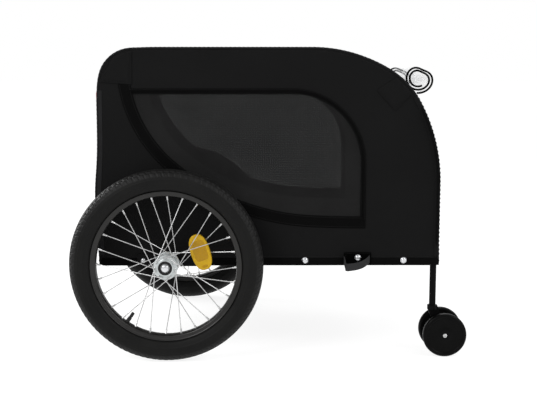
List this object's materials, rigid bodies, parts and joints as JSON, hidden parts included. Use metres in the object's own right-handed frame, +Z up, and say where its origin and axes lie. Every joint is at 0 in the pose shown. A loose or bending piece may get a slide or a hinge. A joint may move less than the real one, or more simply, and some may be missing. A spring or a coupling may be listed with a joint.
{
  "type": "dog bike trailer",
  "caption": "Two-wheeled fabric dog trailer on spoked wheels, with mesh windows, rolled rain cover, end doors, webbing loop and a swivelling parking caster under one front corner.",
  "frame": {"origin": "on the floor, under the centre of the bounding box", "axes": "+X towards the trailer's front, where it is towed; +Y to its left; +Z up"},
  "size_m": [0.8271, 0.651, 0.646],
  "materials": {
    "frame_paint": "satin powder coat",
    "floor_fabric": "woven polyester over a stiff board",
    "cabin_fabric": "coated woven polyester",
    "mesh": "open polyester mesh",
    "clear_film": "clear film, rolled",
    "webbing": "woven webbing",
    "red_reflector": "prismatic",
    "bracket_steel": "black paint",
    "bright_steel": "zinc plated",
    "hub_zinc": "zinc plated, dull",
    "rim_metal": "dark satin",
    "tyre": "matt",
    "black_rubber": "matt",
    "spoke_steel": "bright wire",
    "amber_reflector": "prismatic",
    "caster_steel": "black satin",
    "caster_plastic": "moulded",
    "caster_tread": "moulded, hard"
  },
  "bodies": {
    "chassis": {"hoop_right": "frame_paint", "hoop_left": "frame_paint", "side_rail_right": "frame_paint", "side_rail_left": "frame_paint", "crossbar_rear": "frame_paint", "crossbar_axle": "frame_paint", "crossbar_front": "frame_paint", "roof_bar_rear": "frame_paint", "roof_bar_front": "frame_paint", "drawbar_socket": "frame_paint", "floor_board": "floor_fabric", "side_panel_right": "cabin_fabric", "side_panel_left": "cabin_fabric", "roof_panel": "cabin_fabric", "rear_panel": "cabin_fabric", "front_sill": "cabin_fabric", "window_mesh_right": "mesh", "window_mesh_left": "mesh", "rain_cover": "clear_film", "cover_ties": "webbing", "webbing_loop": "webbing", "rear_reflectors": "red_reflector", "axle_bracket_right": "bracket_steel", "axle_bracket_left": "bracket_steel", "axle_right": "bright_steel", "axle_left": "bright_steel", "caster_leg": "caster_steel"},
    "wheel_right": {"tyre_right": "tyre", "rim_right": "rim_metal", "spokes_right": "spoke_steel", "hub_right": "hub_zinc", "valve_right": "black_rubber", "spoke_reflector_right": "amber_reflector"},
    "wheel_left": {"tyre_left": "tyre", "rim_left": "rim_metal", "spokes_left": "spoke_steel", "hub_left": "hub_zinc", "valve_left": "black_rubber", "spoke_reflector_left": "amber_reflector"},
    "caster": {"caster_body": "caster_plastic"},
    "caster_wheel_pair": {"caster_wheels": "caster_tread"},
    "rear_flap": {"rear_door": "cabin_fabric"},
    "front_flap": {"front_door": "cabin_fabric", "front_door_mesh": "mesh"}
  },
  "joints": [
    {"name": "wheel_right_spin", "type": "hinge", "parent": "chassis", "child": "wheel_right", "pos_m": [-0.2136, -0.29, 0.2], "axis": [0, 1, 0], "continuous": true},
    {"name": "wheel_left_spin", "type": "hinge", "parent": "chassis", "child": "wheel_left", "pos_m": [-0.2136, 0.29, 0.2], "axis": [0, 1, 0], "continuous": true},
    {"name": "caster_swivel", "type": "hinge", "parent": "chassis", "child": "caster", "pos_m": [0.3456, -0.2372, 0.1], "axis": [0, 0, 1], "continuous": true},
    {"name": "caster_wheel_spin", "type": "hinge", "parent": "caster", "child": "caster_wheel_pair", "pos_m": [0.3676, -0.2372, 0.046], "axis": [0, 1, 0], "continuous": true},
    {"name": "rear_door_hinge", "type": "hinge", "parent": "chassis", "child": "rear_flap", "pos_m": [-0.3561, 0, 0.5375], "axis": [0, 1, 0], "range_deg": [0, 95]},
    {"name": "front_door_hinge", "type": "hinge", "parent": "chassis", "child": "front_flap", "pos_m": [0.3564, 0, 0.2325], "axis": [0, 1, 0], "range_deg": [0, 140]}
  ]
}
